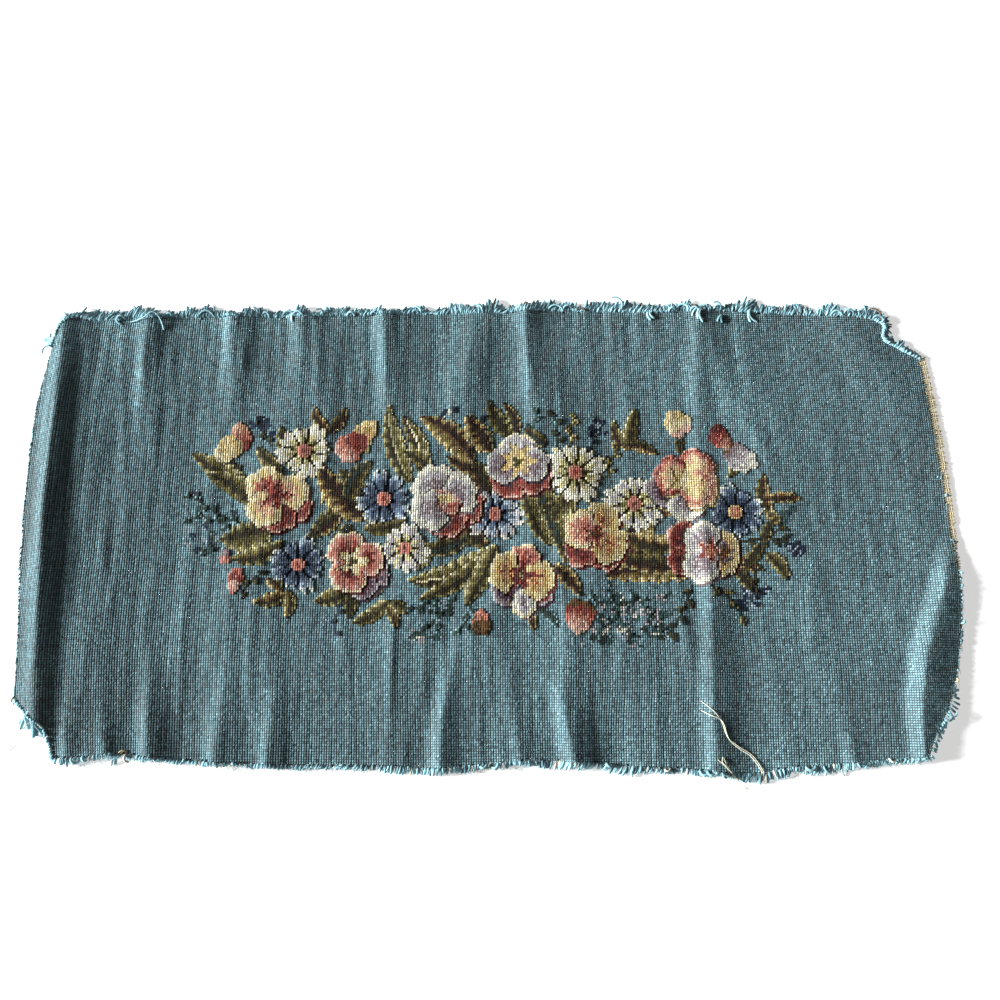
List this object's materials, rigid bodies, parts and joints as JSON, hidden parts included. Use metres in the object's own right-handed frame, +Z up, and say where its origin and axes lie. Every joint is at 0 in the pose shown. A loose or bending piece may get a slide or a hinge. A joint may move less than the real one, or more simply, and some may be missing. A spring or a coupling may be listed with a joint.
{
  "type": "needlepoint tapestry panel",
  "caption": "Rectangular needlepoint panel with a central floral spray on a plain ground, laid flat in soft creases, with frayed cut edges.",
  "frame": {"origin": "on the surface the panel lies on, under the middle of its bounding box", "axes": "+X along the panel's length, to the right of its design; +Y towards the top of its design; +Z up out of its worked face"},
  "size_m": [0.7228, 0.385, 0.0125],
  "materials": {
    "worked_wool": "matte wool tent stitch",
    "frayed_wool": "matte cut wool ends",
    "bare_canvas": "matte raw cotton canvas"
  },
  "bodies": {
    "root": {"worked_panel": "worked_wool", "fringe_top": "frayed_wool", "fringe_bottom": "frayed_wool", "frayed_edge_left": "frayed_wool", "canvas_margin_right": "bare_canvas"}
  },
  "joints": []
}
